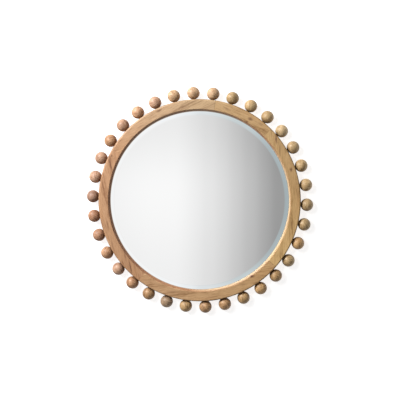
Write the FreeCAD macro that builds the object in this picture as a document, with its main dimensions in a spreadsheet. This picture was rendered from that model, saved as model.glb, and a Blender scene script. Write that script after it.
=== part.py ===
import FreeCAD, Part
import Sketcher
import math
import os

# Round wall mirror: a turned wooden ring of five glued boards, a bevelled round glass held in
# its rabbet by a back panel, thirty-four turned wooden balls dowelled to the ring's outer wall,
# and two loop hangers on its back.
# The frame: the wall is the plane y = 0, the mirror faces -Y, +Z is up, and the ring's axis runs
# through x = 0, z = 0. Angles round the ring are in degrees, clockwise from the top as seen from
# the front. In the ring's own pieces y is the distance behind the ring's front face.

DIMENSIONS = {
    # overall
    "overall_diameter": 882.65,
    # balls
    "ball_diameter": 49.0,
    "ball_count": 34,
    "first_ball_angle": 7.35,
    "ball_seat_depth": 0.6,
    "ball_setback": 25.0,
    "glue_line": 0.05,
    # wooden ring
    "ring_depth": 50.0,
    "ring_width": 39.9,
    "inner_taper": 5.5,
    "inner_arris": 3.5,
    "outer_arris": 6.0,
    "back_arris": 2.0,
    # where each board starts, at its joint with the board before it
    "upper_right_board_angle": 9.3,
    "right_board_angle": 45.0,
    "bottom_board_angle": 130.5,
    "left_board_angle": 217.0,
    "top_board_angle": 300.5,
    # mirror glass
    "mirror_setback": 12.0,
    "glass_thickness": 5.0,
    "bevel_width": 22.0,
    "bevel_drop": 2.9,
    "lip_cover": 5.0,
    "glass_clearance": 1.0,
    "seat_gap": 0.1,
    # back panel
    "foam_thickness": 2.0,
    "panel_thickness": 4.0,
    "panel_ledge": 9.0,
    "panel_clearance": 0.5,
    "panel_screw_count": 8,
    "panel_screw_angle": 22.5,
    "panel_screw_diameter": 3.0,
    "panel_screw_length": 14.0,
    "panel_screw_head_diameter": 6.4,
    "panel_screw_head_height": 2.0,
    # wooden joinery
    "dowel_diameter": 8.0,
    "dowel_length": 35.0,
    "dowel_in_ball": 20.0,
    "dowel_chamfer": 1.0,
    "tenon_thickness": 8.0,
    "tenon_width": 22.0,
    "tenon_length": 40.0,
    "tenon_setback": 11.0,
    "joinery_gap": 0.1,
    "hole_end_gap": 0.5,
    # hangers
    "hanger_height": 80.0,
    "strap_width": 12.0,
    "strap_length": 34.0,
    "strap_thickness": 1.0,
    "loop_wire_diameter": 2.4,
    "loop_inside_width": 16.0,
    "loop_bend": 2.5,
    "loop_leg": 2.5,
    "loop_gap": 0.3,
    "pivot_gap": 0.08,
    "hanger_screw_diameter": 3.2,
    "hanger_screw_head_diameter": 5.2,
    "hanger_screw_length": 14.0,
    "hanger_screw_drop": 12.0,
    "hanger_screw_spacing": 14.0,
    "screw_point": 3.0,
    "screw_gap": 0.05,
    # wall bumpers
    "bumper_diameter": 16.0,
    "bumper_thickness": 5.0,
    "bumper_edge": 1.0,
    "bumper_angle": 30.0,
    # how far a cut runs past the face it opens
    "overrun": 2.0,
}

# Sizes that follow from the driving ones. Each formula may use those above it.
DERIVED = {
    "ball_radius": "dimensions.ball_diameter / 2",
    "ball_circle_radius": "dimensions.overall_diameter / 2 - ball_radius",
    "ring_outer_radius": "ball_circle_radius - ball_radius + dimensions.ball_seat_depth"
                         " - dimensions.glue_line",
    "ball_pitch": "360 / dimensions.ball_count",
    "ball_seat_height": "dimensions.ball_seat_depth - ball_radius",
    "ball_seat_radius": "sqrt(ball_radius ^ 2 - ball_seat_height ^ 2)",
    # ring section
    "front_wall_radius": "ring_outer_radius - dimensions.ring_width",
    "front_face_inner": "front_wall_radius + dimensions.inner_arris",
    "front_face_outer": "ring_outer_radius - dimensions.outer_arris",
    "back_face_outer": "ring_outer_radius - dimensions.back_arris",
    "back_wall_end": "dimensions.ring_depth - dimensions.back_arris",
    "lip_radius": "front_wall_radius - dimensions.inner_taper",
    "glass_radius": "lip_radius + dimensions.lip_cover",
    "rabbet_radius": "glass_radius + dimensions.glass_clearance",
    "ledge_radius": "rabbet_radius + dimensions.panel_ledge",
    "mirror_flat_radius": "glass_radius - dimensions.bevel_width",
    "bevel_edge_depth": "dimensions.mirror_setback + dimensions.bevel_drop",
    "lip_depth": "dimensions.mirror_setback + dimensions.bevel_drop"
                 " * (lip_radius - mirror_flat_radius) / dimensions.bevel_width"
                 " - dimensions.seat_gap",
    "glass_back_depth": "dimensions.mirror_setback + dimensions.glass_thickness",
    "ledge_depth": "glass_back_depth + dimensions.foam_thickness",
    "panel_back_depth": "ledge_depth + dimensions.panel_thickness",
    "panel_radius": "ledge_radius - dimensions.panel_clearance",
    "front_y": "-dimensions.ring_depth - dimensions.bumper_thickness",
    "ball_y": "front_y + dimensions.ball_setback",
    "back_face_y": "-dimensions.bumper_thickness",
    "back_band_radius": "(ledge_radius + ring_outer_radius) / 2",
    # panel screws
    "panel_screw_radius": "(rabbet_radius + ledge_radius) / 2",
    "panel_shank_radius": "dimensions.panel_screw_diameter / 2",
    "panel_pilot_radius": "panel_shank_radius + dimensions.screw_gap",
    "panel_head_radius": "dimensions.panel_screw_head_diameter / 2",
    "panel_head_depth": "panel_back_depth + dimensions.panel_screw_head_height",
    "panel_screw_end": "panel_back_depth - dimensions.panel_screw_length",
    "panel_screw_taper": "panel_screw_end + dimensions.screw_point",
    "panel_pilot_end": "panel_screw_end - dimensions.hole_end_gap",
    "panel_screw_pitch": "360 / dimensions.panel_screw_count",
    "ledge_past": "ledge_depth + dimensions.overrun",
    "panel_hole_front": "ledge_depth - dimensions.overrun",
    "panel_hole_back": "panel_back_depth + dimensions.overrun",
    # ball dowels, along the radius
    "dowel_radius": "dimensions.dowel_diameter / 2",
    "dowel_hole_radius": "dowel_radius + dimensions.joinery_gap",
    "dowel_outer_end": "ring_outer_radius + dimensions.dowel_in_ball",
    "dowel_inner_end": "dowel_outer_end - dimensions.dowel_length",
    "dowel_tip_radius": "dowel_radius - dimensions.dowel_chamfer",
    "dowel_outer_side": "dowel_outer_end - dimensions.dowel_chamfer",
    "dowel_inner_side": "dowel_inner_end + dimensions.dowel_chamfer",
    "ring_hole_floor": "dowel_inner_end - dimensions.hole_end_gap",
    "ring_hole_mouth": "ring_outer_radius + dimensions.overrun",
    "ball_hole_end": "dowel_outer_end + dimensions.hole_end_gap - ball_circle_radius",
    # tenons between the boards
    "tenon_middle_radius": "(front_wall_radius + ring_outer_radius) / 2",
    "tenon_inner": "tenon_middle_radius - dimensions.tenon_width / 2",
    "tenon_outer": "tenon_middle_radius + dimensions.tenon_width / 2",
    "tenon_front": "dimensions.tenon_setback - dimensions.tenon_thickness / 2",
    "tenon_back": "dimensions.tenon_setback + dimensions.tenon_thickness / 2",
    "mortise_inner": "tenon_inner - dimensions.joinery_gap",
    "mortise_outer": "tenon_outer + dimensions.joinery_gap",
    "mortise_front": "tenon_front - dimensions.joinery_gap",
    "mortise_back": "tenon_back + dimensions.joinery_gap",
    "mortise_length": "dimensions.tenon_length + 2 * dimensions.hole_end_gap",
    # hangers, from the loop's pivot
    "wire_radius": "dimensions.loop_wire_diameter / 2",
    "pivot_lift": "dimensions.strap_thickness + dimensions.loop_gap + wire_radius",
    "pivot_y": "back_face_y + pivot_lift",
    "eye_hole_radius": "wire_radius + dimensions.pivot_gap",
    "eye_radius": "eye_hole_radius + dimensions.strap_thickness",
    "hanger_x": "sqrt(back_band_radius ^ 2"
                " - (dimensions.hanger_height - dimensions.strap_length / 2) ^ 2)",
    "strap_half": "dimensions.strap_width / 2",
    "strap_left": "-strap_half",
    "strap_foot": "-pivot_lift",
    "strap_top": "dimensions.strap_thickness - pivot_lift",
    "strap_arc_z": "strap_half - dimensions.strap_length",
    "hanger_shank_radius": "dimensions.hanger_screw_diameter / 2",
    "hanger_pilot_radius": "hanger_shank_radius + dimensions.screw_gap",
    "hanger_head_radius": "dimensions.hanger_screw_head_diameter / 2",
    "strap_hole_radius": "hanger_head_radius + dimensions.screw_gap",
    "strap_hole_foot": "strap_foot - dimensions.overrun",
    "strap_hole_top": "strap_top + dimensions.overrun",
    "hanger_screw_end": "strap_top - dimensions.hanger_screw_length",
    "hanger_screw_taper": "hanger_screw_end + dimensions.screw_point",
    "hanger_pilot_end": "dimensions.ring_depth + hanger_screw_end + pivot_lift"
                        " - dimensions.hole_end_gap",
    "back_past": "dimensions.ring_depth + dimensions.overrun",
    "hanger_screw_z": "-dimensions.hanger_screw_drop",
    "hanger_pilot_z": "dimensions.hanger_height - dimensions.hanger_screw_drop",
    "loop_half": "dimensions.loop_inside_width / 2 + wire_radius",
    "loop_left": "-loop_half",
    "loop_bar_half": "loop_half - dimensions.loop_bend",
    "loop_bar_left": "-loop_bar_half",
    "loop_leg_top": "-dimensions.loop_bend",
    "loop_leg_foot": "-dimensions.loop_bend - dimensions.loop_leg",
    # bumpers
    "bumper_radius": "dimensions.bumper_diameter / 2",
    "bumper_face_radius": "bumper_radius - dimensions.bumper_edge",
    "bumper_side_end": "-dimensions.bumper_edge",
}

BOARDS = ["upper_right", "right", "bottom", "left", "top"]
JOINT_ANGLES = [f"{name}_board_angle" for name in BOARDS]
FULL_TURN = 360

document = FreeCAD.newDocument("round_wood_mirror")


def fill_sheet(name, cells):
    """A spreadsheet with one named value per row."""
    sheet = document.addObject("Spreadsheet::Sheet", name)
    for row, (alias, content) in enumerate(cells.items(), start=1):
        sheet.set(f"A{row}", alias)
        sheet.set(f"B{row}", content)
        sheet.setAlias(f"B{row}", alias)
    document.recompute()
    return sheet


dimensions = fill_sheet("dimensions", {alias: str(size) for alias, size in DIMENSIONS.items()})
derived = fill_sheet("derived", {alias: "=" + formula for alias, formula in DERIVED.items()})


def bound(alias):
    """The expression that reads a named value."""
    sheet = "dimensions" if alias in DIMENSIONS else "derived"
    return f"{sheet}.{alias}"


def value(alias):
    """The number that a named value holds now."""
    if alias == "zero":
        return 0
    return float(dimensions.get(alias) if alias in DIMENSIONS else derived.get(alias))


def plane(body, role):
    """One of the body's own origin planes or axes."""
    return [item for item in body.Origin.OriginFeatures if item.Role == role][0]


def new_body(label):
    body = document.addObject("PartDesign::Body", label)
    body.Label = label
    return body


def new_sketch(body, name, role, offset=None, turn=None):
    """A sketch on one of the body's origin planes.

    offset maps base coordinates to expressions, and turn is an expression in degrees, about Y.
    """
    sketch = body.newObject("Sketcher::SketchObject", name)
    sketch.AttachmentSupport = [(plane(body, role), "")]
    sketch.MapMode = "FlatFace"
    if turn:
        sketch.AttachmentOffset = FreeCAD.Placement(
            FreeCAD.Vector(), FreeCAD.Rotation(FreeCAD.Vector(0, 1, 0), 1)
        )
        sketch.setExpression("AttachmentOffset.Rotation.Angle", turn)
    for coordinate, expression in (offset or {}).items():
        sketch.setExpression(f"AttachmentOffset.Base.{coordinate}", expression)
    return sketch


def hold(sketch, constraint, kind, alias):
    """Add a constraint and bind it to a named value."""
    index = sketch.addConstraint(constraint)
    sketch.renameConstraint(index, f"{kind}{index}")
    sketch.setExpression(f"Constraints.{kind}{index}", bound(alias))


def pin(sketch, edge, point, corner):
    """Hold one end of an edge at a pair of named values."""
    for kind, cross_axis, alias in zip(("DistanceX", "DistanceY"), (-2, -1), corner):
        if alias == "zero":
            sketch.addConstraint(Sketcher.Constraint("PointOnObject", edge, point, cross_axis))
        else:
            constraint = Sketcher.Constraint(kind, -1, 1, edge, point, value(alias))
            hold(sketch, constraint, kind, alias)


def draw_circle(sketch, alias):
    """A circle of a named radius about the sketch's origin."""
    circle = Part.Circle(FreeCAD.Vector(), FreeCAD.Vector(0, 0, 1), value(alias))
    edge = sketch.addGeometry(circle, False)
    sketch.addConstraint(Sketcher.Constraint("Coincident", edge, 3, -1, 1))
    hold(sketch, Sketcher.Constraint("Radius", edge, value(alias)), "Radius", alias)


def draw_outline(sketch, corners):
    """A closed run of lines and arcs through corners given as pairs of named values.

    A corner may go on with a radius and a centre: then the edge that leaves it is that arc. A
    half circle also gives the direction from its centre to its middle.
    """
    places = [FreeCAD.Vector(value(corner[0]), value(corner[1]), 0) for corner in corners]
    following_places = places[1:] + places[:1]
    edges = []
    for corner, start, end in zip(corners, places, following_places):
        if len(corner) == 2:
            edges.append(sketch.addGeometry(Part.LineSegment(start, end), False))
            continue
        centre = FreeCAD.Vector(value(corner[3][0]), value(corner[3][1]), 0)
        if len(corner) == 5:
            outward = FreeCAD.Vector(*corner[4], 0)
        else:
            outward = (start - centre) + (end - centre)
            outward.normalize()
        middle = centre + outward * value(corner[2])
        edges.append(sketch.addGeometry(Part.Arc(start, middle, end), False))
    for edge, following in zip(edges, edges[1:] + edges[:1]):
        join(sketch, edge, following)
    for edge, corner, place in zip(edges, corners, places):
        pin(sketch, edge, end_of(sketch, edge, place), corner)
    for edge, corner in zip(edges, corners):
        if len(corner) == 4:
            constraint = Sketcher.Constraint("Radius", edge, value(corner[2]))
            hold(sketch, constraint, "Radius", corner[2])
        elif len(corner) == 5:
            constraint = Sketcher.Constraint("DistanceY", -1, 1, edge, 3, value(corner[3][1]))
            hold(sketch, constraint, "DistanceY", corner[3][1])


def end_of(sketch, edge, place):
    """1 or 2: which end of the edge lies at the place."""
    start = sketch.getPoint(edge, 1)
    end = sketch.getPoint(edge, 2)
    return 1 if (start - place).Length <= (end - place).Length else 2


def join(sketch, edge, following):
    """Tie the ends of two edges that meet."""
    pairs = [(one, two) for one in (1, 2) for two in (1, 2)]
    gaps = [
        (sketch.getPoint(edge, one) - sketch.getPoint(following, two)).Length
        for one, two in pairs
    ]
    one, two = pairs[gaps.index(min(gaps))]
    sketch.addConstraint(Sketcher.Constraint("Coincident", edge, one, following, two))


def spin(body, sketch, axis, cut=False):
    """Turn a sketch a full turn about one of its own axes, as wood added or taken away."""
    kind = "Groove" if cut else "Revolution"
    before = body.Shape.Volume if cut else 0
    feature = body.newObject(f"PartDesign::{kind}", f"{sketch.Name}_{kind.lower()}")
    feature.Profile = sketch
    feature.ReferenceAxis = (sketch, [axis])
    feature.Angle = FULL_TURN
    document.recompute()
    if cut and feature.Shape.Volume >= before:
        raise RuntimeError(f"{feature.Name} takes nothing away from {body.Label}")
    return feature


def extrude(body, sketch, length, cut=False):
    """Pad or pocket a sketch, half of the length to each side."""
    kind = "Pocket" if cut else "Pad"
    before = body.Shape.Volume if cut else 0
    feature = body.newObject(f"PartDesign::{kind}", f"{sketch.Name}_{kind.lower()}")
    feature.Profile = sketch
    feature.SideType = "Symmetric"
    feature.setExpression("Length", length)
    document.recompute()
    if cut and feature.Shape.Volume >= before:
        raise RuntimeError(f"{feature.Name} takes nothing away from {body.Label}")
    return feature


def repeat_round(body, feature, count, pitch):
    """Copies of a feature clockwise round the ring, a pitch apart."""
    if count < 2:
        return
    pattern = body.newObject("PartDesign::PolarPattern", f"{feature.Name}_round")
    pattern.Originals = [feature]
    pattern.Axis = (plane(body, "Y_Axis"), [""])
    pattern.Mode = "Spacing"
    pattern.Occurrences = count
    pattern.setExpression("Offset", pitch)
    body.Tip = pattern
    document.recompute()


def repeat_down(body, feature, spacing):
    """A second copy of a feature, below the first."""
    pattern = body.newObject("PartDesign::LinearPattern", f"{feature.Name}_down")
    pattern.Originals = [feature]
    pattern.Direction = (plane(body, "Z_Axis"), [""])
    pattern.Reversed = True
    pattern.Mode = "Spacing"
    pattern.Occurrences = 2
    pattern.setExpression("Offset", spacing)
    body.Tip = pattern
    document.recompute()


def set_base(body, **coordinates):
    """Place a body, with each coordinate bound to an expression."""
    for coordinate, expression in coordinates.items():
        body.setExpression(f"Placement.Base.{coordinate}", expression)


def ring_angles(first, pitch, count, start, end):
    """The angles of a round of count places that lie between two joints."""
    angles = [first + index * pitch for index in range(count)]
    inside = [angle for angle in angles + [angle + FULL_TURN for angle in angles]
              if start < angle < end]
    return inside


def screw_hole_outline(radius, end, mouth):
    """Half of a drilled hole, along Y."""
    return [("zero", end), (radius, end), (radius, mouth), ("zero", mouth)]


def mortise(body, angle):
    """The slot for the tenon that crosses a joint."""
    sketch = new_sketch(body, f"{body.Name}_{angle}_mortise", "XY_Plane", turn=f"{bound(angle)} - 90")
    draw_outline(sketch, [
        ("mortise_inner", "mortise_front"),
        ("mortise_outer", "mortise_front"),
        ("mortise_outer", "mortise_back"),
        ("mortise_inner", "mortise_back"),
    ])
    extrude(body, sketch, bound("mortise_length"), cut=True)


def ring_board(name, start, end):
    """One board of the ring, between two joints: its turned section, ball holes and screw holes."""
    body = new_body(f"ring_board_{name}")
    start_angle = value(start)
    end_angle = value(end)
    span = f"{bound(end)} - {bound(start)}"
    if end_angle <= start_angle:
        end_angle += FULL_TURN
        span += f" + {FULL_TURN}"
    section = new_sketch(body, f"{name}_section", "XY_Plane", turn=f"{bound(start)} - 90")
    draw_outline(section, [
        ("front_face_inner", "zero"),
        ("front_face_outer", "zero", "outer_arris", ("front_face_outer", "outer_arris")),
        ("ring_outer_radius", "outer_arris"),
        ("ring_outer_radius", "back_wall_end", "back_arris", ("back_face_outer", "back_wall_end")),
        ("back_face_outer", "ring_depth"),
        ("ledge_radius", "ring_depth"),
        ("ledge_radius", "ledge_depth"),
        ("rabbet_radius", "ledge_depth"),
        ("rabbet_radius", "lip_depth"),
        ("lip_radius", "lip_depth"),
        ("front_wall_radius", "inner_arris", "inner_arris", ("front_face_inner", "inner_arris")),
    ])
    turned = body.newObject("PartDesign::Revolution", f"{name}_turned")
    turned.Profile = section
    turned.ReferenceAxis = (section, ["V_Axis"])
    turned.setExpression("Angle", span)
    document.recompute()

    mortise(body, start)
    mortise(body, end)

    pitch = value("ball_pitch")
    angles = ring_angles(value("first_ball_angle"), pitch, int(value("ball_count")),
                         start_angle, end_angle)
    if angles:
        turns = round((angles[0] - value("first_ball_angle")) / pitch)
        turn = f"dimensions.first_ball_angle + {turns} * derived.ball_pitch - 90"
        hole = new_sketch(body, f"{name}_ball_hole", "XY_Plane",
                          offset={"y": bound("ball_setback")}, turn=turn)
        draw_outline(hole, [
            ("ring_hole_floor", "zero"),
            ("ring_hole_mouth", "zero"),
            ("ring_hole_mouth", "dowel_hole_radius"),
            ("ring_hole_floor", "dowel_hole_radius"),
        ])
        repeat_round(body, spin(body, hole, "H_Axis", cut=True), len(angles), bound("ball_pitch"))

    pitch = value("panel_screw_pitch")
    angles = ring_angles(value("panel_screw_angle"), pitch, int(value("panel_screw_count")),
                         start_angle, end_angle)
    if angles:
        turns = round((angles[0] - value("panel_screw_angle")) / pitch)
        angle = f"(dimensions.panel_screw_angle + {turns} * derived.panel_screw_pitch)"
        hole = new_sketch(body, f"{name}_panel_pilot", "XY_Plane", offset={
            "x": f"derived.panel_screw_radius * sin{angle}",
            "z": f"derived.panel_screw_radius * cos{angle}",
        })
        draw_outline(hole, screw_hole_outline("panel_pilot_radius", "panel_pilot_end", "ledge_past"))
        repeat_round(body, spin(body, hole, "V_Axis", cut=True), len(angles),
                     bound("panel_screw_pitch"))

    hanger_angle = math.degrees(math.atan2(value("hanger_x"), value("hanger_height")))
    for side, angle in (("", hanger_angle), ("-", FULL_TURN - hanger_angle)):
        if start_angle < angle < end_angle:
            hole = new_sketch(body, f"{name}_hanger_pilot", "XY_Plane", offset={
                "x": f"{side}{bound('hanger_x')}",
                "z": bound("hanger_pilot_z"),
            })
            draw_outline(hole, screw_hole_outline(
                "hanger_pilot_radius", "hanger_pilot_end", "back_past"))
            repeat_down(body, spin(body, hole, "V_Axis", cut=True), bound("hanger_screw_spacing"))
    set_base(body, y=bound("front_y"))
    return body


def ring_tenons():
    """The loose tenons that cross the five joints."""
    body = new_body("ring_tenons")
    for angle in JOINT_ANGLES:
        sketch = new_sketch(body, f"{angle}_tenon", "XY_Plane", turn=f"{bound(angle)} - 90")
        draw_outline(sketch, [
            ("tenon_inner", "tenon_front"),
            ("tenon_outer", "tenon_front"),
            ("tenon_outer", "tenon_back"),
            ("tenon_inner", "tenon_back"),
        ])
        extrude(body, sketch, bound("tenon_length"))
    set_base(body, y=bound("front_y"))
    return body


def ball(number):
    """One turned ball, with a flat turned on it where it meets the ring, and its dowel hole."""
    body = new_body(f"ball_{number + 1:02d}")
    sketch = new_sketch(body, f"ball_{number + 1:02d}_profile", "XY_Plane")
    draw_outline(sketch, [
        ("ball_hole_end", "zero"),
        ("ball_hole_end", "dowel_hole_radius"),
        ("ball_seat_height", "dowel_hole_radius"),
        ("ball_seat_height", "ball_seat_radius", "ball_radius", ("zero", "zero")),
        ("ball_radius", "zero"),
    ])
    spin(body, sketch, "H_Axis")
    angle = f"(dimensions.first_ball_angle + {number} * derived.ball_pitch)"
    body.Placement = FreeCAD.Placement(
        FreeCAD.Vector(), FreeCAD.Rotation(FreeCAD.Vector(0, 1, 0), 1)
    )
    body.setExpression("Placement.Rotation.Angle", f"{angle} - 90")
    set_base(body, x=f"derived.ball_circle_radius * sin{angle}", y=bound("ball_y"),
             z=f"derived.ball_circle_radius * cos{angle}")
    return body


def ball_dowels():
    """The dowels that hold the balls, half in the ring and half in the ball."""
    body = new_body("ball_dowels")
    sketch = new_sketch(body, "dowel_profile", "XY_Plane",
                        offset={"y": bound("ball_setback")}, turn="dimensions.first_ball_angle - 90")
    draw_outline(sketch, [
        ("dowel_inner_end", "zero"),
        ("dowel_outer_end", "zero"),
        ("dowel_outer_end", "dowel_tip_radius"),
        ("dowel_outer_side", "dowel_radius"),
        ("dowel_inner_side", "dowel_radius"),
        ("dowel_inner_end", "dowel_tip_radius"),
    ])
    repeat_round(body, spin(body, sketch, "H_Axis"), int(value("ball_count")), bound("ball_pitch"))
    set_base(body, y=bound("front_y"))
    return body


def disc(label, corners):
    """A round plate turned about the ring's axis."""
    body = new_body(label)
    sketch = new_sketch(body, f"{label}_profile", "XY_Plane")
    draw_outline(sketch, corners)
    spin(body, sketch, "V_Axis")
    set_base(body, y=bound("front_y"))
    return body


def mirror_glass():
    """The silvered glass, bevelled all round its front edge."""
    return disc("mirror_glass", [
        ("zero", "mirror_setback"),
        ("mirror_flat_radius", "mirror_setback"),
        ("glass_radius", "bevel_edge_depth"),
        ("glass_radius", "glass_back_depth"),
        ("zero", "glass_back_depth"),
    ])


def backing_foam():
    """The thin foam sheet that presses the glass against the lip."""
    return disc("backing_foam", [
        ("zero", "glass_back_depth"),
        ("glass_radius", "glass_back_depth"),
        ("glass_radius", "ledge_depth"),
        ("zero", "ledge_depth"),
    ])


def first_panel_screw():
    """Where the first screw of the back panel stands."""
    return {
        "x": "derived.panel_screw_radius * sin(dimensions.panel_screw_angle)",
        "z": "derived.panel_screw_radius * cos(dimensions.panel_screw_angle)",
    }


def back_panel():
    """The panel that closes the back, with its screw holes."""
    body = disc("back_panel", [
        ("zero", "ledge_depth"),
        ("panel_radius", "ledge_depth"),
        ("panel_radius", "panel_back_depth"),
        ("zero", "panel_back_depth"),
    ])
    hole = new_sketch(body, "panel_hole", "XY_Plane", offset=first_panel_screw())
    draw_outline(hole, screw_hole_outline("panel_pilot_radius", "panel_hole_front", "panel_hole_back"))
    repeat_round(body, spin(body, hole, "V_Axis", cut=True), int(value("panel_screw_count")),
                 bound("panel_screw_pitch"))
    return body


def panel_screws():
    """The screws that hold the back panel to the ring's ledge."""
    body = new_body("panel_screws")
    sketch = new_sketch(body, "panel_screw_profile", "XY_Plane", offset=first_panel_screw())
    draw_outline(sketch, [
        ("zero", "panel_screw_end"),
        ("panel_shank_radius", "panel_screw_taper"),
        ("panel_shank_radius", "panel_back_depth"),
        ("panel_head_radius", "panel_back_depth"),
        ("panel_shank_radius", "panel_head_depth"),
        ("zero", "panel_head_depth"),
    ])
    repeat_round(body, spin(body, sketch, "V_Axis"), int(value("panel_screw_count")),
                 bound("panel_screw_pitch"))
    set_base(body, y=bound("front_y"))
    return body


def hang(body, side):
    """Place a hanger's piece, made about the loop's pivot, on the left or right of the back."""
    sign = {"left": "-", "right": ""}[side]
    set_base(body, x=f"{sign}{bound('hanger_x')}", y=bound("pivot_y"), z=bound("hanger_height"))


def hanger_strap(side):
    """The steel strap of a hanger, rolled into an eye round the loop's bar."""
    body = new_body(f"hanger_strap_{side}")
    tongue = new_sketch(body, f"strap_{side}_tongue", "XZ_Plane",
                        offset={"z": "derived.pivot_lift - dimensions.strap_thickness / 2"})
    draw_outline(tongue, [
        ("strap_left", "zero"),
        ("strap_half", "zero"),
        ("strap_half", "strap_arc_z", "strap_half", ("zero", "strap_arc_z"), (0, -1)),
        ("strap_left", "strap_arc_z"),
    ])
    extrude(body, tongue, bound("strap_thickness"))
    for name, radius, cut in (("eye", "eye_radius", False), ("bore", "eye_hole_radius", True)):
        sketch = new_sketch(body, f"strap_{side}_{name}", "YZ_Plane")
        draw_circle(sketch, radius)
        extrude(body, sketch, bound("strap_width"), cut=cut)
    hole = new_sketch(body, f"strap_{side}_hole", "XY_Plane", offset={"z": bound("hanger_screw_z")})
    draw_outline(hole, [
        ("zero", "strap_hole_foot"),
        ("hanger_pilot_radius", "strap_hole_foot"),
        ("hanger_pilot_radius", "strap_foot"),
        ("strap_hole_radius", "strap_top"),
        ("strap_hole_radius", "strap_hole_top"),
        ("zero", "strap_hole_top"),
    ])
    repeat_down(body, spin(body, hole, "V_Axis", cut=True), bound("hanger_screw_spacing"))
    hang(body, side)
    return body


def hanger_screws(side):
    """The two flush screws of a hanger's strap."""
    body = new_body(f"hanger_screws_{side}")
    sketch = new_sketch(body, f"screw_{side}_profile", "XY_Plane",
                        offset={"z": bound("hanger_screw_z")})
    draw_outline(sketch, [
        ("zero", "hanger_screw_end"),
        ("hanger_shank_radius", "hanger_screw_taper"),
        ("hanger_shank_radius", "strap_foot"),
        ("hanger_head_radius", "strap_top"),
        ("zero", "strap_top"),
    ])
    repeat_down(body, spin(body, sketch, "V_Axis"), bound("hanger_screw_spacing"))
    hang(body, side)
    return body


def hanger_loop(side):
    """The wire loop that swings in the strap's eye, bent from round wire, stored hanging down."""
    body = new_body(f"hanger_loop_{side}")
    path = new_sketch(body, f"loop_{side}_path", "XZ_Plane")
    draw_outline(path, [
        ("zero", "zero"),
        ("loop_bar_half", "zero", "loop_bend", ("loop_bar_half", "loop_leg_top")),
        ("loop_half", "loop_leg_top"),
        ("loop_half", "loop_leg_foot", "loop_half", ("zero", "loop_leg_foot"), (0, -1)),
        ("loop_left", "loop_leg_foot"),
        ("loop_left", "loop_leg_top", "loop_bend", ("loop_bar_left", "loop_leg_top")),
        ("loop_bar_left", "zero"),
    ])
    wire = new_sketch(body, f"loop_{side}_wire", "YZ_Plane")
    draw_circle(wire, "wire_radius")
    document.recompute()
    pipe = body.newObject("PartDesign::AdditivePipe", f"loop_{side}_bent")
    pipe.Profile = wire
    pipe.Spine = path
    document.recompute()
    hang(body, side)
    return body


def wall_bumper(name, angle):
    """A soft rubber disc that keeps the ring off the wall. The wall is at its face, y = 0."""
    body = new_body(f"wall_bumper_{name}")
    sketch = new_sketch(body, f"bumper_{name}_profile", "XY_Plane")
    draw_outline(sketch, [
        ("zero", "back_face_y"),
        ("bumper_radius", "back_face_y"),
        ("bumper_radius", "bumper_side_end"),
        ("bumper_face_radius", "zero"),
        ("zero", "zero"),
    ])
    spin(body, sketch, "V_Axis")
    set_base(body, x=f"derived.back_band_radius * sin({angle})",
             z=f"derived.back_band_radius * cos({angle})")
    return body


def build():
    pieces = []
    for index, name in enumerate(BOARDS):
        following = JOINT_ANGLES[(index + 1) % len(JOINT_ANGLES)]
        pieces.append(ring_board(name, JOINT_ANGLES[index], following))
    pieces.append(ring_tenons())
    pieces += [ball(number) for number in range(int(value("ball_count")))]
    pieces.append(ball_dowels())
    pieces += [mirror_glass(), backing_foam(), back_panel(), panel_screws()]
    for side in ("left", "right"):
        pieces += [hanger_strap(side), hanger_screws(side), hanger_loop(side)]
    bumper_angle = bound("bumper_angle")
    pieces.append(wall_bumper("upper_right", bumper_angle))
    pieces.append(wall_bumper("lower_right", f"180 - {bumper_angle}"))
    pieces.append(wall_bumper("lower_left", f"180 + {bumper_angle}"))
    pieces.append(wall_bumper("upper_left", f"-{bumper_angle}"))
    document.recompute()
    return pieces


def check(pieces):
    """Stop if anything failed, before a file is written."""
    for item in document.Objects:
        if "Invalid" in item.State or "Error" in item.State:
            raise RuntimeError(f"{item.Name} of the document failed: {item.State}")
    for piece in pieces:
        if piece.Shape.isNull() or not piece.Shape.isValid() or not piece.Shape.Solids:
            raise RuntimeError(f"{piece.Label} has no valid shape")


def export(pieces):
    os.makedirs("parts", exist_ok=True)
    for piece in pieces:
        piece.Shape.exportStep(f"parts/{piece.Label}.step")


mirror_pieces = build()
check(mirror_pieces)
export(mirror_pieces)
for piece in mirror_pieces:
    box = piece.Shape.BoundBox
    print(f"{piece.Label}: {len(piece.Shape.Solids)} solid(s), {piece.Shape.Volume:.0f} mm3, "
          f"x {box.XMin:.1f} to {box.XMax:.1f}, y {box.YMin:.1f} to {box.YMax:.1f}, "
          f"z {box.ZMin:.1f} to {box.ZMax:.1f}")
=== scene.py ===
import math
import random

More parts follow.
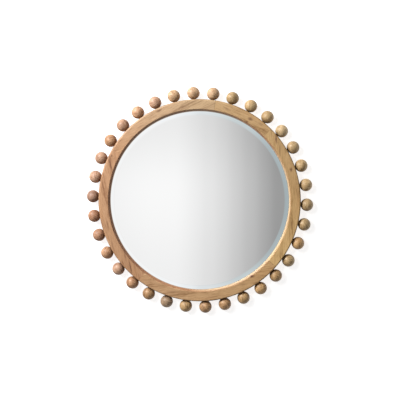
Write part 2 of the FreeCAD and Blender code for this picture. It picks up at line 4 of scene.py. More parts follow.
import bmesh
import bpy
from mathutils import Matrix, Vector

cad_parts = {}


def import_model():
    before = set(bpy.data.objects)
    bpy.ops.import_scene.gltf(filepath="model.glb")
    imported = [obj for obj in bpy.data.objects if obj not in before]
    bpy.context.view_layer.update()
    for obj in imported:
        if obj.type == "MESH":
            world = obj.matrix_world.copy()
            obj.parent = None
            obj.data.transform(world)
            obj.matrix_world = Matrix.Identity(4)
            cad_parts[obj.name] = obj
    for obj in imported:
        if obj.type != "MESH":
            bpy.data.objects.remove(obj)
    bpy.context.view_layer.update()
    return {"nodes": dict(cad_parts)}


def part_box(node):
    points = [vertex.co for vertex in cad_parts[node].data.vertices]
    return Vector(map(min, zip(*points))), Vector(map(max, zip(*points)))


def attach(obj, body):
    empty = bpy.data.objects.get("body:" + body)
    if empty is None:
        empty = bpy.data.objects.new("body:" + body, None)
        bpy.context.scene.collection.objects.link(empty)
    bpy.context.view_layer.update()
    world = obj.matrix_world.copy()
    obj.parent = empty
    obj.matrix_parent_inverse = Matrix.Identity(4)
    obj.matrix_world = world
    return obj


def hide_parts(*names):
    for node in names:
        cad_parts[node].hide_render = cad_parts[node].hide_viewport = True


# The round wood mirror on its wall. The wall is the plane y = 0 and the mirror faces -Y.
# Angles round the ring are in degrees, clockwise from the top as seen from the front.

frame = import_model()
nodes = frame["nodes"]

# The ring boards: where each starts and ends, and the colour of its wood at the start, in the
# middle and at the end.
BOARDS = {
    "upper_right": (9.3, 45.0, (191, 156, 112), (189, 153, 108), (188, 152, 106)),
    "right": (45.0, 130.5, (191, 156, 108), (186, 149, 100), (213, 176, 120)),
    "bottom": (130.5, 217.0, (190, 150, 102), (192, 153, 110), (189, 148, 109)),
    "left": (217.0, 300.5, (178, 134, 98), (187, 143, 106), (190, 144, 107)),
    "top": (300.5, 369.3, (191, 146, 108), (196, 161, 124), (191, 159, 120)),
}
CLEAR_JOINTS = (9.3, 130.5)    # the glue lines that show most
PALER = (24, 25, 22)    # how much the palest wood differs from that colour, and the darkest
DARKER = (46, 46, 42)

# Marks in the wood of the ring: board, angle, share of the width from inside to outside,
# half length along the grain and half width across it in metres, and how dark.
MARKS = [
    ("upper_right", 32.0, 0.50, 0.011, 0.0070, 0.80),
    ("upper_right", 31.0, 0.10, 0.006, 0.0050, 0.75),
    ("upper_right", 17.0, 0.45, 0.018, 0.0045, 0.45),
    ("upper_right", 39.0, 0.70, 0.020, 0.0030, 0.40),
    ("right", 51.0, 0.72, 0.024, 0.0048, 0.80),
    ("right", 58.0, 0.35, 0.022, 0.0035, 0.45),
    ("right", 71.0, 0.55, 0.010, 0.0065, 0.85),
    ("right", 86.0, 0.75, 0.022, 0.0030, 0.35),
    ("right", 104.0, 0.40, 0.022, 0.0035, 0.40),
    ("right", 122.0, 0.55, 0.016, 0.0030, 0.35),
    ("bottom", 145.0, 0.09, 0.012, 0.0060, 1.00),
    ("bottom", 152.0, 0.35, 0.018, 0.0035, 0.45),
    ("bottom", 173.0, 0.62, 0.022, 0.0030, 0.30),
    ("bottom", 196.0, 0.40, 0.024, 0.0035, 0.35),
    ("left", 226.0, 0.50, 0.034, 0.0034, 0.75),
    ("left", 233.0, 0.20, 0.024, 0.0028, 0.60),
    ("left", 243.0, 0.68, 0.022, 0.0028, 0.50),
    ("left", 255.0, 0.40, 0.024, 0.0035, 0.40),
    ("left", 278.0, 0.62, 0.020, 0.0030, 0.35),
    ("left", 292.0, 0.45, 0.034, 0.0034, 0.90),
    ("left", 297.0, 0.72, 0.006, 0.0045, 0.65),
    ("top", 336.0, 0.70, 0.013, 0.0060, 0.70),
    ("top", 322.0, 0.30, 0.022, 0.0035, 0.35),
    ("top", 350.0, 0.35, 0.018, 0.0030, 0.30),
]

# The tones of the balls' wood, pale and dark, and the tone of each ball, clockwise from the top.
BALL_TONES = {
    "L": ((224, 198, 156), (164, 136, 96)),
    "Y": ((214, 184, 138), (152, 122, 80)),
    "S": ((200, 172, 128), (138, 110, 72)),
    "T": ((224, 188, 148), (158, 122, 90)),
    "D": ((222, 182, 130), (152, 114, 72)),
    "B": ((203, 163, 119), (131, 95, 63)),
    "W": ((210, 174, 126), (138, 106, 68)),
    "G": ((188, 160, 130), (120, 94, 70)),
    "O": ((214, 170, 132), (140, 96, 66)),
    "C": ((226, 182, 146), (154, 110, 80)),
    "K": ((198, 152, 120), (126, 84, 60)),
    "P": ((214, 174, 144), (142, 103, 80)),
    "M": ((190, 150, 126), (118, 84, 66)),
}
BALL_ORDER = "TSYYLSYYSSDSWDWBBWGBOPOKKMPPOPCPTT"


def linear(colour):
    """A colour given as it looks on screen, 0 to 255, as the numbers that a shader takes."""
    shares = [channel / 255 for channel in colour]
    return [c / 12.92 if c <= 0.04045 else ((c + 0.055) / 1.055) ** 2.4 for c in shares] + [1.0]


class Graph:
    """Makes and links the nodes of one tree."""

    def __init__(self, tree):
        self.tree = tree
        tree.nodes.clear()

    def node(self, kind, inputs=None, **settings):
        made = self.tree.nodes.new(kind)
        for name, setting in settings.items():
            setattr(made, name, setting)
        for key, item in (inputs or {}).items():
            self.feed(made.inputs[key], item)
        return made

    def feed(self, socket, item):
        if isinstance(item, bpy.types.NodeSocket):
            self.tree.links.new(item, socket)
        else:
            socket.default_value = item

    def math(self, operation, *items, clamp=False):
        made = self.node("ShaderNodeMath", dict(enumerate(items)), operation=operation)
        made.use_clamp = clamp
        return made.outputs[0]

    def vector(self, operation, *items, output=0):
        made = self.node("ShaderNodeVectorMath", dict(enumerate(items)), operation=operation)
        return made.outputs[output]

    def share(self, item, low, high):
        """How far item is on the way from low to high, 0 to 1."""
        return self.node("ShaderNodeMapRange", {0: item, 1: low, 2: high}).outputs[0]

    def remap(self, item, low, high, to_low=0.0, to_high=1.0):
        """item from low to high, eased, as to_low to to_high."""
        inputs = {0: item, 1: low, 2: high, 3: to_low, 4: to_high}
        made = self.node("ShaderNodeMapRange", inputs, interpolation_type="SMOOTHSTEP")
        return made.outputs[0]

    def noise(self, place, stretch, detail=2.0, roughness=0.5, distortion=0.0):
        """Soft noise, 0 to 1, with stretch waves a metre along each axis."""
        scaled = self.vector("MULTIPLY", place, stretch)
        inputs = {"Vector": scaled, "Scale": 1.0, "Detail": detail, "Roughness": roughness,
                  "Distortion": distortion}
        return self.node("ShaderNodeTexNoise", inputs).outputs[0]

    def mix(self, share, first, second, blend="MIX"):
        made = self.node("ShaderNodeMix", {0: share, 6: first, 7: second},
                         data_type="RGBA", blend_type=blend)
        return made.outputs[2]

    def ramp(self, item, stops, way="EASE"):
        made = self.node("ShaderNodeValToRGB", {0: item})
        made.color_ramp.interpolation = way
        elements = made.color_ramp.elements
        while len(elements) < len(stops):
            elements.new(0.5)
        for element, (position, colour) in zip(elements, stops):
            element.position = position
            element.color = colour
        return made.outputs[0]

    def surface(self, inputs, bump=None, strength=0.2, depth=0.0003):
        """The shader that ends a material, with an optional height for its relief."""
        shader = self.node("ShaderNodeBsdfPrincipled", inputs)
        if bump is not None:
            relief = self.node("ShaderNodeBump",
                               {"Height": bump, "Strength": strength, "Distance": depth})
            self.tree.links.new(relief.outputs[0], shader.inputs["Normal"])
        self.node("ShaderNodeOutputMaterial", {0: shader.outputs[0]})


def new_material(name):
    material = bpy.data.materials.new(name)
    material.use_nodes = True
    return material, Graph(material.node_tree)


def wear(node, material):
    """Give a CAD node its material."""
    mesh = nodes[node].data
    mesh.materials.clear()
    mesh.materials.append(material)


# Wood

# Colours in the wood as they look on screen, and the colours of its painted shade and painted
# highlight
KNOT_BROWN = (98, 58, 36)
# the brown of the pores, and of the painted shade at the ring's outer edge
PORE_AND_EDGE_SHADE_BROWN = (92, 60, 38)
STAIN = (200, 140, 84)
# painted shade at the ring's inner lip, and a painted highlight on its lit inner wall
LIP_SHADE_BROWN = (134, 70, 34)
SHEEN_HIGHLIGHT_WOOD = (200, 176, 142)
GLUE_BROWN = (84, 54, 34)
# painted shade where the balls meet the ring
SEAT_SHADE_BROWN = (66, 40, 24)


def knots(g, mapped, marks):
    """Where the marks are: each an oval along the grain with a ragged edge."""
    knot = None
    for where, long_half, wide_half, dark in marks:
        reach = g.vector("SUBTRACT", mapped, where)
        reach = g.vector("MULTIPLY", reach, (1 / long_half, 0.0, 1 / wide_half))
        reach = g.vector("LENGTH", reach, output=1)
        wobble = g.noise(mapped, (160, 300, 300), 3)
        reach = g.math("MULTIPLY_ADD", wobble, 0.9, reach)
        spot = g.remap(reach, 1.8, 0.5, 0.0, dark)
        knot = spot if knot is None else g.math("MAXIMUM", knot, spot)
    return knot


def growth_rings(g, mapped, ring_spacing, pith, knot):
    """The dark late wood of long rounds about the heart of the tree, which wander a little."""
    wander = g.noise(mapped, (2.2, 9, 9), 2)
    ripple = g.noise(mapped, (9, 40, 40), 3)
    flat = g.vector("MULTIPLY", mapped, (0.04, 1, 1))
    flat = g.vector("SUBTRACT", flat, pith)
    distance = g.vector("LENGTH", flat, output=1)
    distance = g.math("MULTIPLY_ADD", wander, 0.020, distance)
    distance = g.math("MULTIPLY_ADD", ripple, ring_spacing * 0.28, distance)
    if knot is not None:
        distance = g.math("MULTIPLY_ADD", knot, 0.006, distance)
    cycle = g.math("FRACT", g.math("DIVIDE", distance, ring_spacing))
    late = g.math("MULTIPLY", g.remap(cycle, 0.15, 0.85), g.remap(cycle, 1.0, 0.86))
    strength = g.remap(g.noise(mapped, (5, 25, 25), 2), 0.35, 0.65, 0.4, 1.0)
    return g.math("MULTIPLY", late, strength)


def wood(name, turn, offset, tones, ring_spacing, pith, contrast, marks=(), late_dark=0.12,
         drift=None, half_length=1.0, stain_share=0.2, shade_and_glue=None):
    """Wood whose grain runs along its own x axis, turned by turn (an Euler) about offset.

    tones are the dark, middle and pale wood. drift gives three colours that they are multiplied
    by at the near end, in the middle and at the far end of half_length both ways.
    pith is the distance of the tree's heart from offset, and contrast how strong the streaks
    are. The last argument, where it is given, paints shade and highlights and draws glue lines by
    the place on the object.
    """
    material, g = new_material(name)
    place = g.node("ShaderNodeTexCoord").outputs["Object"]
    mapped = g.node("ShaderNodeMapping", {"Vector": place, "Location": offset, "Rotation": turn},
                    vector_type="TEXTURE").outputs[0]
    knot = knots(g, mapped, marks)
    late = growth_rings(g, mapped, ring_spacing, pith, knot)
    # streaks, fibres, flecks and pores, all drawn out along the grain
    broad = g.noise(mapped, (6, 80, 80), 2, 0.6)
    middle = g.noise(mapped, (30, 200, 200), 3, 0.6)
    fine = g.noise(mapped, (38, 700, 700), 4, 0.65)
    flecks = g.remap(g.noise(mapped, (34, 330, 330), 2, 0.5), 0.60, 0.70)
    pores = g.remap(g.noise(mapped, (75, 1700, 1700), 1, 0.5), 0.63, 0.72)
    patch = g.noise(mapped, (8, 18, 18), 2)
    tone = g.math("MULTIPLY_ADD", g.math("SUBTRACT", broad, 0.5), contrast, 0.55)
    tone = g.math("MULTIPLY_ADD", g.math("SUBTRACT", middle, 0.5), contrast * 1.1, tone)
    tone = g.math("MULTIPLY_ADD", g.math("SUBTRACT", fine, 0.5), 0.8, tone)
    tone = g.math("MULTIPLY_ADD", g.math("SUBTRACT", patch, 0.5), 0.6, tone)
    tone = g.math("MULTIPLY_ADD", flecks, -0.22, tone)
    tone = g.math("MULTIPLY_ADD", late, -late_dark, tone, clamp=True)
    stops = (0.10, 0.52, 0.95)
    colour = g.ramp(tone, [(stop, linear(shade)) for stop, shade in zip(stops, tones)])
    if drift is not None:
        along = g.node("ShaderNodeSeparateXYZ", {0: mapped}).outputs[0]
        along = g.share(along, -half_length, half_length)
        drifted = g.ramp(along, list(zip((0.0, 0.5, 1.0), drift)), "CARDINAL")
        colour = g.mix(1.0, colour, drifted, "MULTIPLY")
    stain = g.noise(mapped, (4, 30, 30), 2)
    colour = g.mix(g.remap(stain, 0.50, 0.75, 0.0, stain_share), colour, linear(STAIN))
    colour = g.mix(g.math("MULTIPLY", pores, 0.30), colour, linear(PORE_AND_EDGE_SHADE_BROWN))
    if knot is not None:
        colour = g.mix(knot, colour, linear(KNOT_BROWN))
    if shade_and_glue is not None:
        colour = shade_and_glue(g, place, colour)
    rough = g.math("MULTIPLY_ADD", fine, 0.16, 0.40)
    rough = g.math("MULTIPLY_ADD", late, -0.06, rough)
    height = g.math("MULTIPLY_ADD", pores, -0.8, fine)
    height = g.math("MULTIPLY_ADD", late, 0.25, height)
    height = g.math("MULTIPLY_ADD", flecks, -0.3, height)
    g.surface({"Base Color": colour, "Roughness": rough, "Specular IOR Level": 0.4},
              height, 0.22, 0.00025)
    return material


# The ring's outer radius, and the radius of its inner wall at the front, in metres
RING_OUTER = 0.392875
RING_INNER = 0.352975
LIT_SIDE = 120    # the lit side, on which the inner wall has a painted highlight, an angle
SEAT_SHADE_HEIGHT = 0.0130    # how far up a ball the painted shade at its seat reaches from the ring
LIP_SHADE_WIDTH = 0.0024    # how wide the painted shade at the inner lip is, and the painted shade at the outer edge
EDGE_SHADE_WIDTH = 0.0040
GLUE_HALF = 0.0012    # half the width of a glue line
CLEAR_GLUE = 0.55    # how dark a clear glue line is, and a faint one
FAINT_GLUE = 0.10


def at(angle, radius):
    """The point at an angle clockwise from the top, at the wall."""
    a = math.radians(angle)
    return Vector((radius * math.sin(a), 0.0, radius * math.cos(a)))


def off_axis(g, place):
    """How far a point lies from the mirror's axis."""
    return g.vector("LENGTH", g.vector("MULTIPLY", place, (1, 0, 1)), output=1)


def board_marks(name, turn, centre):
    """The marks of one board, placed along and across its grain from its centre."""
    placed = []
    for board, angle, share, mark_length, mark_width, dark in MARKS:
        if board != name:
            continue
        spot = at(angle, RING_INNER + share * (RING_OUTER - RING_INNER)) - centre
        along = spot.x * math.cos(turn) - spot.z * math.sin(turn)
        across = spot.x * math.sin(turn) + spot.z * math.cos(turn)
        placed.append(((along, 0.0, across), mark_length, mark_width, dark))
    return placed


def ring_shade_and_glue(ends):
    """The painted shade and highlight and the glue lines of a board that is glued to others at the
    angles ends.
    """
    glued = []
    for angle in ends:
        clear = round(angle % 360, 1) in CLEAR_JOINTS
        glued.append((at(angle + 90, 1.0), CLEAR_GLUE if clear else FAINT_GLUE))

    def shade_and_glue(g, place, colour):
        """Painted shade at the inner lip and wall and at the outer edge, dark glue lines, and a
        painted highlight on the inner wall's lit side.
        """
        radius = off_axis(g, place)
        # painted highlight: the inner wall paler on its lit side
        inside = g.remap(radius, RING_INNER, RING_INNER - 0.0008)
        side = g.vector("DOT_PRODUCT", place, at(LIT_SIDE, 1.0), output=1)
        painted_sheen = g.math("MULTIPLY", inside, g.remap(side, 0.11, 0.27))
        # painted shade: the inner lip and inner wall darker, except on the lit side
        lip = g.remap(radius, RING_INNER + LIP_SHADE_WIDTH, RING_INNER + 0.0002, 0.0, 0.55)
        lip = g.math("MULTIPLY", lip, g.math("SUBTRACT", 1.0, painted_sheen))
        colour = g.mix(lip, colour, linear(LIP_SHADE_BROWN))
        colour = g.mix(g.math("MULTIPLY", painted_sheen, 0.60), colour, linear(SHEEN_HIGHLIGHT_WOOD))
        # painted shade: the outer edge darker all round
        edge = g.remap(radius, RING_OUTER - EDGE_SHADE_WIDTH, RING_OUTER - 0.0006, 0.0, 0.40)
        colour = g.mix(edge, colour, linear(PORE_AND_EDGE_SHADE_BROWN))
        for square, strength in glued:
            reach = g.math("ABSOLUTE", g.vector("DOT_PRODUCT", place, square, output=1))
            line = g.remap(reach, GLUE_HALF, 0.0003, 0.0, strength)
            colour = g.mix(line, colour, linear(GLUE_BROWN))
        return colour

    return shade_and_glue


def dress_boards():
    rng = random.Random(11)
    for name, (start, end, *means) in BOARDS.items():
        middle = (start + end) / 2
        turn = math.radians(middle)
        centre = at(middle, (RING_OUTER + RING_INNER) / 2)
        palest = [max(channels) for channels in zip(*means)]
        tones = ([c - d for c, d in zip(palest, DARKER)], palest,
                 [c + d for c, d in zip(palest, PALER)])
        drift = [[c / base for c, base in zip(linear(mean), linear(palest))] for mean in means]
        half_length = RING_OUTER * math.sin(math.radians((end - start) / 2))
        pith = (0.0, rng.uniform(-0.10, -0.05), rng.choice((-1, 1)) * rng.uniform(0.05, 0.12))
        ring_spacing = rng.uniform(0.007, 0.010)
        wear(f"ring_board_{name}", wood(
            f"board_{name}", (0.0, turn, 0.0), centre, tones, ring_spacing, pith, contrast=0.85,
            marks=board_marks(name, turn, centre), late_dark=0.09, drift=drift,
            half_length=half_length, shade_and_glue=ring_shade_and_glue((start, end))))


def seat_shade(g, place, colour):
    """Painted shade: darker where a ball meets the ring."""
    near = g.remap(off_axis(g, place), RING_OUTER + SEAT_SHADE_HEIGHT, RING_OUTER + 0.0010, 0.0, 0.62)
    return g.mix(near, colour, linear(SEAT_SHADE_BROWN))


def dress_balls():
    rng = random.Random(5)
    for number, letter in enumerate(BALL_ORDER, start=1):
        node = f"ball_{number:02d}"
        low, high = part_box(node)
        centre = (low + high) / 2
        pale, dark = BALL_TONES[letter]
        shift = rng.uniform(-6, 6)
        pale = [c + shift for c in pale]
        dark = [c + shift for c in dark]
        mean = [0.6 * p + 0.4 * d for p, d in zip(pale, dark)]
        turn = [math.radians(rng.uniform(-80, 80)) for _ in range(3)]
        pith = (0.0, rng.uniform(-0.03, 0.03), rng.uniform(-0.03, 0.03))
        ring_spacing = rng.uniform(0.0045, 0.0070)
        wear(node, wood(
            f"ball_wood_{number:02d}", turn, centre, (dark, mean, pale), ring_spacing, pith,
            contrast=1.10, late_dark=0.25, stain_share=0.12, shade_and_glue=seat_shade))


# The other materials

# Radii on the glass, in metres: where its flat ends and its bevel starts, where the bevel has its
# full tint, where it starts to pale towards the rim and is palest, and where the ring covers it
FLAT_END = 0.3302
BEVEL_START = 0.3306
BEVEL_TINTED = 0.3380
RIM_START = 0.3405
RIM_FULL = 0.3440
LIP = 0.3472
SHADED_SIDE = 285    # the side on which the painted shade and painted reflection of the wood in the glass at the lip are strongest, an angle

# How the silver tints what it shows: on the flat, where the bevel starts (painted shade), in the
# bevel, at the rim and under the ring (a painted reflection of the wood with painted shade)
FLAT_TINT = (0.94, 0.942, 0.942, 1)
ARRIS_SHADE_TINT = (0.90, 0.89, 0.885, 1)
BEVEL_TINT = (0.922, 0.938, 0.942, 1)
RIM_TINT = (0.955, 0.975, 0.985, 1)
WOOD_REFLECTION_SHADE_TINT = (0.50, 0.40, 0.32, 1)


def mirror_material():
    """Silvered glass, a little blue in the bevel, with painted shade where the bevel starts, and
    browner where it goes under the ring: a painted reflection of the wood and painted shade,
    strongest on the left.
    """
    material, g = new_material("silvered_glass")
    place = g.node("ShaderNodeTexCoord").outputs["Object"]
    radius = off_axis(g, place)
    arris = g.remap(radius, FLAT_END, BEVEL_START)
    bevel = g.remap(radius, BEVEL_START, BEVEL_TINTED)
    rim = g.remap(radius, RIM_START, RIM_FULL)
    dust = g.noise(place, (60, 60, 60), 4, 0.6)
    # painted shade: greyer where the bevel starts, fading over the bevel
    colour = g.mix(arris, FLAT_TINT, ARRIS_SHADE_TINT)
    colour = g.mix(bevel, colour, BEVEL_TINT)
    colour = g.mix(rim, colour, RIM_TINT)
    # painted reflection of the wood and painted shade under the ring, strongest on the left
    side = g.vector("DOT_PRODUCT", place, at(SHADED_SIDE, 1.0), output=1)
    under = g.math("MULTIPLY", g.remap(radius, RIM_FULL, LIP),
                   g.remap(side, -0.25, 0.25, 0.35, 0.95))
    colour = g.mix(under, colour, WOOD_REFLECTION_SHADE_TINT)
    rough = g.remap(dust, 0.45, 0.8, 0.004, 0.02)
    g.surface({"Base Color": colour, "Metallic": 1.0, "Roughness": rough})
    return material


def fibreboard():
    material, g = new_material("fibreboard")
    place = g.node("ShaderNodeTexCoord").outputs["Object"]
    fibres = g.noise(place, (420, 900, 260), 4, 0.7, 1.5)
    specks = g.remap(g.noise(place, (700, 700, 700), 2), 0.60, 0.72)
    clouds = g.noise(place, (5, 5, 5), 3)
    tone = g.math("MULTIPLY_ADD", clouds, 0.35, g.math("MULTIPLY", fibres, 0.65))
    colour = g.ramp(tone, [(0.25, linear((108, 78, 52))), (0.5, linear((134, 101, 70))),
                           (0.8, linear((160, 126, 92)))])
    colour = g.mix(g.math("MULTIPLY", specks, 0.45), colour, linear((74, 52, 36)))
    g.surface({"Base Color": colour, "Roughness": 0.78}, fibres, 0.25, 0.0003)
    return material


def steel():
    material, g = new_material("zinc_steel")
    place = g.node("ShaderNodeTexCoord").outputs["Object"]
    brushed = g.noise(place, (250, 3000, 3000), 2)
    spangle = g.noise(place, (500, 500, 500), 3)
    colour = g.ramp(spangle, [(0.3, linear((170, 172, 172))), (0.7, linear((206, 207, 204)))])
    rough = g.math("MULTIPLY_ADD", brushed, 0.18, 0.24)
    g.surface({"Base Color": colour, "Metallic": 1.0, "Roughness": rough}, brushed, 0.08, 0.0001)
    return material


def rubber():
    material, g = new_material("soft_rubber")
    place = g.node("ShaderNodeTexCoord").outputs["Object"]
    grain = g.noise(place, (1500, 1500, 1500), 3)
    colour = g.ramp(grain, [(0.3, linear((38, 38, 38))), (0.7, linear((58, 57, 55)))])
    g.surface({"Base Color": colour, "Roughness": 0.82}, grain, 0.3, 0.0002)
    return material


def foam():
    material, g = new_material("white_foam")
    place = g.node("ShaderNodeTexCoord").outputs["Object"]
    cells = g.node("ShaderNodeTexVoronoi", {"Vector": place, "Scale": 900.0}).outputs[0]
    colour = g.ramp(cells, [(0.1, linear((214, 214, 210))), (0.7, linear((238, 238, 236)))])
    g.surface({"Base Color": colour, "Roughness": 0.9}, cells, 0.4, 0.0004)
    return material


# The screws, each with a cross recess and a thread. Their sizes are in millimetres.

# The radius of the head and how far it domes, the radius of the shank, and where along y the
# screw has the top and the underside of its head, the start of its taper and its point
PANEL_SCREW = {"rim": 3.2, "rise": 1.1, "shank": 1.5,
               "top": -30.0, "under": -32.0, "taper": -43.0, "point": -46.0}
HANGER_SCREW = {"rim": 2.6, "rise": 0.0, "shank": 1.6,
                "top": -4.0, "under": -5.0, "taper": -15.0, "point": -18.0}
MM = 1000    # millimetres in a metre
SCREW_SIDES = 36
HEAD_ROWS = 18
TIP_ROWS = 10
THREAD_PITCH = 1.2
THREAD_ROW = 0.3    # from one row of the thread to the next
THREAD_SHARE = 0.12    # how deep the thread is, as a share of the shank's radius
SLOT_HALF = 0.42    # half the width of each slot of the cross, and half its length
SLOT_REACH = 1.60
SLOT_FLANK = 0.14    # how far the slope of its sides goes, and the slope of its ends
SLOT_END = 0.45
SLOT_DEPTH = 1.1    # how deep it is in the middle, and how much less one millimetre out
SLOT_RISE = 0.35
WELD = 0.000002    # corners this close are one, in metres

# Where the screws stand, in metres: the circle of the panel's screws with the first one's angle
# and their pitch, and the hanger screws' place at each side with their heights
PANEL_SCREW_CIRCLE = 0.357975
PANEL_SCREW_ANGLE = 22.5
PANEL_SCREW_PITCH = 45.0
PANEL_SCREW_COUNT = 8
HANGER_X = 0.372383
HANGER_SCREW_HEIGHTS = (0.068, 0.054)


def recess(across, along):
    """How deep the cross recess of a screw's head is, this far from the head's middle."""
    depth = 0.0
    for wide, long in ((abs(across), abs(along)), (abs(along), abs(across))):
        side = min(1.0, max(0.0, (SLOT_HALF - wide) / SLOT_FLANK))
        reach = min(1.0, max(0.0, (SLOT_REACH - long) / SLOT_END))
        depth = max(depth, side * reach * (SLOT_DEPTH - SLOT_RISE * long))
    return depth


def screw_rows(rim, rise, shank, top, under, taper, point):
    """The radius and height y of each row of a screw: its head, the step under it, its thread."""
    heads = [(rim * i / HEAD_ROWS, top - rise * (i / HEAD_ROWS) ** 3)
             for i in range(HEAD_ROWS + 1)]
    skirt = [(rim if rise else shank, under), (shank, under)]
    turns = [(shank, under - THREAD_ROW * i)
             for i in range(1, round((under - taper) / THREAD_ROW) + 1)]
    tip = [(shank * (1 - i / TIP_ROWS), taper + (point - taper) * i / TIP_ROWS)
           for i in range(1, TIP_ROWS + 1)]
    return heads, skirt, turns + tip


def screw_surface(places, sizes):
    """The corners and faces of the screws at places, each head turned its own way."""
    rng = random.Random(3)
    around = SCREW_SIDES
    heads, skirt, thread = screw_rows(**sizes)
    rows = heads + skirt + thread
    corners, faces = [], []
    for x, z in places:
        first = len(corners)
        spin = rng.uniform(0, math.pi / 2)
        for number, (radius, height) in enumerate(rows):
            for step in range(around):
                a = 2 * math.pi * step / around
                y, r = height, radius
                if number < len(heads):
                    y -= recess(radius * math.cos(a - spin), radius * math.sin(a - spin))
                elif number >= len(heads) + len(skirt):
                    turned = math.cos(2 * math.pi * y / THREAD_PITCH - a)
                    r *= 1 - THREAD_SHARE + THREAD_SHARE * turned
                corners.append((x + r * math.cos(a) / MM, y / MM, z + r * math.sin(a) / MM))
        for number in range(len(rows) - 1):
            for step in range(around):
                after = (step + 1) % around
                low = first + number * around
                faces.append((low + step, low + after, low + around + after, low + around + step))
    return corners, faces


def screws(name, node, places, sizes):
    """One piece of the screws at places, their heads facing the wall."""
    corners, faces = screw_surface(places, sizes)
    mesh = bpy.data.meshes.new(name)
    mesh.from_pydata(corners, [], faces)
    tool = bmesh.new()
    tool.from_mesh(mesh)
    bmesh.ops.remove_doubles(tool, verts=tool.verts, dist=WELD)
    bmesh.ops.recalc_face_normals(tool, faces=tool.faces)
    tool.to_mesh(mesh)
    tool.free()
    mesh.polygons.foreach_set("use_smooth", [True] * len(mesh.polygons))
    mesh.set_sharp_from_angle(angle=math.radians(38))
    made = bpy.data.objects.new(name, mesh)
    bpy.context.scene.collection.objects.link(made)
    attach(made, "mirror")
    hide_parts(node)
    return made


def add_screws(zinc):
    stands = [at(PANEL_SCREW_ANGLE + PANEL_SCREW_PITCH * n, PANEL_SCREW_CIRCLE)
              for n in range(PANEL_SCREW_COUNT)]
    places = [(stand.x, stand.z) for stand in stands]
    made = [screws("cross_screws_panel", "panel_screws", places, PANEL_SCREW)]
    for side, x in (("left", -HANGER_X), ("right", HANGER_X)):
        places = [(x, height) for height in HANGER_SCREW_HEIGHTS]
        made.append(screws(f"cross_screws_{side}", f"hanger_screws_{side}", places, HANGER_SCREW))
    for piece in made:
        piece.data.materials.append(zinc)


def dress_others():
    glass = mirror_material()
    board = fibreboard()
    zinc = steel()
    black = rubber()
    white = foam()
    beech = wood("beech", (0.0, 0.0, 0.0), (0.0, 0.0, 0.0),
                 ((170, 130, 90), (196, 160, 118), (214, 182, 142)),
                 ring_spacing=0.004, pith=(0.0, 0.3, 0.2), contrast=0.5)
    wear("mirror_glass", glass)
    wear("back_panel", board)
    wear("backing_foam", white)
    wear("ring_tenons", beech)
    wear("ball_dowels", beech)
    wear("panel_screws", zinc)
    for side in ("left", "right"):
        for piece in ("hanger_strap", "hanger_screws", "hanger_loop"):
            wear(f"{piece}_{side}", zinc)
    add_screws(zinc)
    for corner in ("upper_right", "lower_right", "lower_left", "upper_left"):
        wear(f"wall_bumper_{corner}", black)


# The room

WHITE = (1, 1, 1, 1)
BLACK = (0, 0, 0, 1)
FLOOR_Z = -1.3
ROOM_HALF = 3.0


def flat_view(g, across, up):
    """What the flat of the mirror shows: a bright wall on the left that greys to the right."""
    greys = [(0.0, 249), (0.16, 254), (0.32, 254), (0.42, 241), (0.48, 233), (0.54, 220),
             (0.60, 204), (0.66, 189), (0.72, 169), (0.76, 160), (1.0, 168)]
    sweep = g.share(across, -0.14, 0.06)
    view = g.ramp(sweep, [(stop, linear((grey, grey, grey))) for stop, grey in greys], "CARDINAL")
    fall = g.share(up, -0.15, 0.01)
    shade = g.ramp(fall, [(0.0, (0.92, 0.92, 0.92, 1)), (0.55, WHITE),
                          (1.0, (0.87, 0.87, 0.87, 1))])
    return g.mix(1.0, view, shade, "MULTIPLY")


def bevel_view(g, across):
    """What the bevel shows, further out."""
    tints = [(0.0, (252, 252, 252)), (0.22, (250, 251, 252)), (0.33, (241, 244, 246)),
             (0.42, (228, 232, 234)), (0.70, (202, 211, 213)), (0.90, (175, 186, 189)),
             (1.0, (169, 180, 183))]
    sweep = g.share(across, -0.30, 0.30)
    return g.ramp(sweep, [(stop, linear(tint)) for stop, tint in tints])


def side_view(g, x, z, ahead):
    """What a mirror seen from the side shows: soft screens, as bright and grey bands."""
    level = g.remap(z, -0.5, 0.5)
    view = g.mix(level, (0.34, 0.34, 0.34, 1), (0.62, 0.62, 0.62, 1))
    screens = g.math("SINE", g.math("MULTIPLY", g.math("ARCTAN2", x, ahead), 12.0))
    return g.mix(g.remap(screens, -1.1, 1.1, 0.0, 0.70), view, (0.90, 0.91, 0.915, 1))


def mirror_view(g, x, y, z):
    """The room as shiny things show it."""
    ahead = g.math("MAXIMUM", g.math("ABSOLUTE", y), 0.05)
    across = g.math("DIVIDE", x, ahead)
    up = g.math("DIVIDE", z, ahead)
    above = g.math("ABSOLUTE", g.math("ADD", up, 0.07))
    beside = g.math("ABSOLUTE", g.math("ADD", across, 0.06))
    out = g.math("MAXIMUM", g.remap(above, 0.09, 0.15), g.remap(beside, 0.09, 0.16))
    view = g.mix(out, flat_view(g, across, up), bevel_view(g, across))
    reach = g.math("MAXIMUM", above, beside)
    return g.mix(g.remap(reach, 0.5, 1.2), view, side_view(g, x, z, ahead))


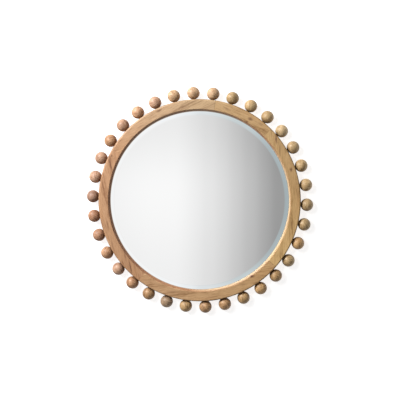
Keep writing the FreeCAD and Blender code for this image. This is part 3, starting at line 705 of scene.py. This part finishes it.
def soft_light(g, direction, y, wall_side):
    """Light from a bright side on the upper left, and from the wall, brightest upper right."""
    slant = g.vector("DOT_PRODUCT", direction, (0.7, 0.0, 0.7), output=1)
    slant = g.remap(slant, -0.8, 0.8)
    wall_light = g.mix(slant, (0.52, 0.52, 0.525, 1), (0.92, 0.92, 0.93, 1))
    soft = g.mix(wall_side, (0.13, 0.13, 0.132, 1), wall_light)
    bright = g.vector("DOT_PRODUCT", direction, (-0.70, -0.09, 0.70), output=1)
    bright = g.remap(bright, 0.60, 1.0, 0.0, 1.2)
    low = g.vector("DOT_PRODUCT", direction, (0.87, 0.0, -0.50), output=1)
    low = g.remap(low, 0.0, 0.7, 0.0, 1.8)
    low = g.math("MULTIPLY", low, g.remap(y, -0.01, 0.06))
    low = g.math("MULTIPLY", low, g.remap(y, 0.50, 0.25))
    bright = g.math("ADD", bright, low)
    return g.mix(1.0, soft, g.mix(bright, BLACK, WHITE), "ADD")


def world():
    """Plain studio light. The camera sees white, and the mirror a room that greys to the right."""
    made = bpy.data.worlds.new("studio")
    bpy.context.scene.world = made
    made.use_nodes = True
    g = Graph(made.node_tree)
    direction = g.node("ShaderNodeTexCoord").outputs["Generated"]
    x, y, z = g.node("ShaderNodeSeparateXYZ", {0: direction}).outputs
    wall_side = g.remap(y, -0.05, 0.15)
    soft = soft_light(g, direction, y, wall_side)
    shown = g.mix(wall_side, mirror_view(g, x, y, z), soft)
    light = g.node("ShaderNodeLightPath")
    seen = g.mix(light.outputs["Is Glossy Ray"], soft, shown)
    seen = g.mix(light.outputs["Is Camera Ray"], seen, WHITE)
    seen = g.mix(light.outputs["Is Transmission Ray"], seen, WHITE)
    background = g.node("ShaderNodeBackground", {"Color": seen, "Strength": 1.0})
    g.node("ShaderNodeOutputWorld", {0: background.outputs[0]})


def sheet(name, corners):
    mesh = bpy.data.meshes.new(name)
    mesh.from_pydata(corners, [], [tuple(range(len(corners)))])
    made = bpy.data.objects.new(name, mesh)
    bpy.context.scene.collection.objects.link(made)
    return made


def wall():
    """A white wall behind the mirror, open from behind."""
    half = ROOM_HALF
    made = sheet("wall", [(-half, 0, FLOOR_Z), (half, 0, FLOOR_Z), (half, 0, half),
                          (-half, 0, half)])
    material, g = new_material("white_wall")
    light = g.node("ShaderNodeLightPath").outputs["Is Camera Ray"]
    behind = g.node("ShaderNodeNewGeometry").outputs["Backfacing"]
    shown = g.math("MULTIPLY", light, g.math("SUBTRACT", 1.0, behind))
    paint = g.node("ShaderNodeBsdfDiffuse", {0: (0.65, 0.65, 0.66, 1)}).outputs[0]
    glow = g.node("ShaderNodeEmission", {0: (0.81, 0.81, 0.81, 1), 1: 1.0}).outputs[0]
    lit = g.node("ShaderNodeAddShader", {0: paint, 1: glow}).outputs[0]
    clear = g.node("ShaderNodeBsdfTransparent").outputs[0]
    both = g.node("ShaderNodeMixShader", {0: shown, 1: clear, 2: lit}).outputs[0]
    g.node("ShaderNodeOutputMaterial", {0: both})
    made.data.materials.append(material)


def floor():
    """A plain pale floor."""
    half = ROOM_HALF
    made = sheet("floor", [(-half, -half, FLOOR_Z), (half, -half, FLOOR_Z),
                           (half, half, FLOOR_Z), (-half, half, FLOOR_Z)])
    material, g = new_material("pale_floor")
    place = g.node("ShaderNodeTexCoord").outputs["Object"]
    cast = g.noise(place, (2, 2, 2), 2)
    colour = g.ramp(cast, [(0.3, (0.78, 0.78, 0.77, 1)), (0.7, (0.82, 0.82, 0.81, 1))])
    g.surface({"Base Color": colour, "Roughness": 0.7})
    made.data.materials.append(material)
    made.visible_glossy = False
    made.visible_diffuse = False


def lamp(name, place, size, watts):
    """A round soft lamp that faces the middle of the mirror."""
    data = bpy.data.lights.new(name, "AREA")
    data.shape = "DISK"
    data.size = size
    data.energy = watts
    made = bpy.data.objects.new(name, data)
    bpy.context.scene.collection.objects.link(made)
    made.location = place
    made.rotation_euler = (-Vector(place)).to_track_quat("-Z", "Y").to_euler()


def camera():
    """The photograph's view: a little from the right and from above."""
    azimuth = math.radians(3.3)
    elevation = math.radians(4.0)
    distance = 4.5
    aim = Vector((0.0022, -0.030, 0.0018))
    level = math.cos(elevation)
    away = Vector((math.sin(azimuth) * level, -math.cos(azimuth) * level, math.sin(elevation)))
    data = bpy.data.cameras.new("camera")
    data.sensor_width = 36.0
    data.lens = 104.08
    made = bpy.data.objects.new("camera", data)
    bpy.context.scene.collection.objects.link(made)
    made.location = aim + away * distance
    made.rotation_euler = (-away).to_track_quat("-Z", "Y").to_euler()
    bpy.context.scene.camera = made


dress_boards()
dress_balls()
dress_others()
world()
wall()
floor()
lamp("key", (-2.76, -2.22, 2.46), size=1.2, watts=225)
lamp("front", (-1.55, -3.75, 1.43), size=0.8, watts=40)
camera()
bpy.context.scene.view_settings.view_transform = "Standard"
